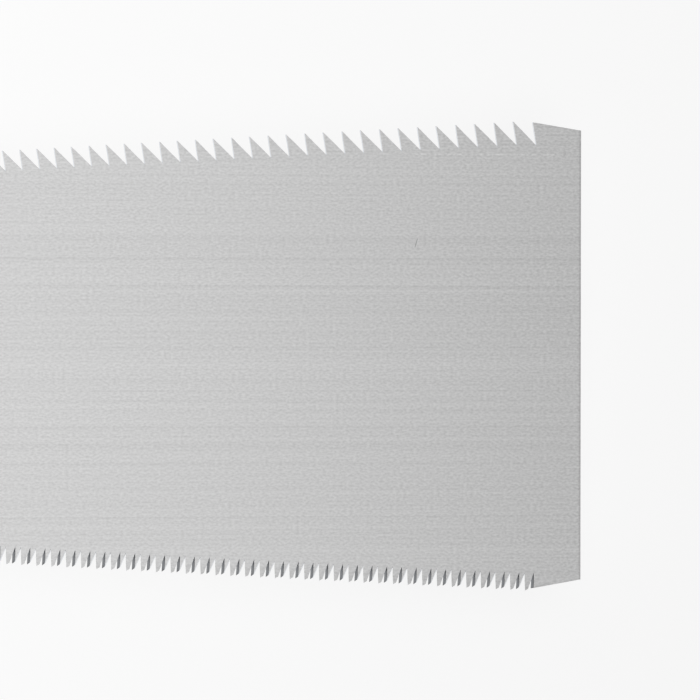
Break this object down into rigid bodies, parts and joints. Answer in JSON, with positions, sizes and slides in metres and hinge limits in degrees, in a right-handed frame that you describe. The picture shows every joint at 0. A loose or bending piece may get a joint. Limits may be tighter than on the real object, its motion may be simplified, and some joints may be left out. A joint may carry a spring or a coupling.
{
  "type": "pull saw",
  "caption": "Double-edged pull saw (ryoba): rip teeth on one edge, fine crosscut teeth on the other, a replaceable blade in a riveted holder and a rattan-wrapped handle.",
  "frame": {"origin": "centre of the saw's length and width, at the height of the handle's lowest line when the saw lies on its side", "axes": "+X along the saw from the butt to the toe, +Y across the blade to the rip teeth, +Z out of the blade's face on the side of the lock screw's head"},
  "size_m": [0.6222, 0.0994, 0.028],
  "materials": {
    "blade_steel": "brushed lengthwise",
    "holder_steel": "satin nickel",
    "rivet_steel": "polished",
    "screw_steel": "bright nickel",
    "washer_steel": "satin",
    "ferrule_enamel": "black enamel",
    "core_wood": "plain, unvarnished",
    "rattan": "clear lacquer",
    "tack_brass": "polished",
    "cap_plastic": "moulded, fine grain"
  },
  "bodies": {
    "handle": {"screw_side_cheek": "holder_steel", "nut_side_cheek": "holder_steel", "tang_spacer": "holder_steel", "holder_rivets": "rivet_steel", "lock_nut": "screw_steel", "ferrule": "ferrule_enamel", "ferrule_nails": "rivet_steel", "core_upper_half": "core_wood", "core_lower_half": "core_wood", "tail_pins": "rivet_steel", "rattan_wrap": "rattan", "wrap_tacks": "tack_brass", "butt_cap": "cap_plastic", "cap_pin": "rivet_steel"},
    "saw_blade": {"blade": "blade_steel"},
    "washer": {"lock_washer": "washer_steel"},
    "screw": {"lock_screw": "screw_steel"}
  },
  "joints": [
    {"name": "blade_slide", "type": "slide", "parent": "handle", "child": "saw_blade", "axis": [1, 0, 0], "range_m": [0, 0.06]},
    {"name": "washer_lift", "type": "slide", "parent": "handle", "child": "washer", "axis": [0, 0, 1], "range_m": [0, 0.0024]},
    {"name": "screw_turn", "type": "hinge", "parent": "washer", "child": "screw", "pos_m": [0.0156, 0, 0.0139], "axis": [0, 0, 1], "range_deg": [0, 1080]}
  ],
  "couplings": [
    {"joint": "screw_turn", "follows": "washer_lift", "rad_per_m": 7853.9}
  ]
}
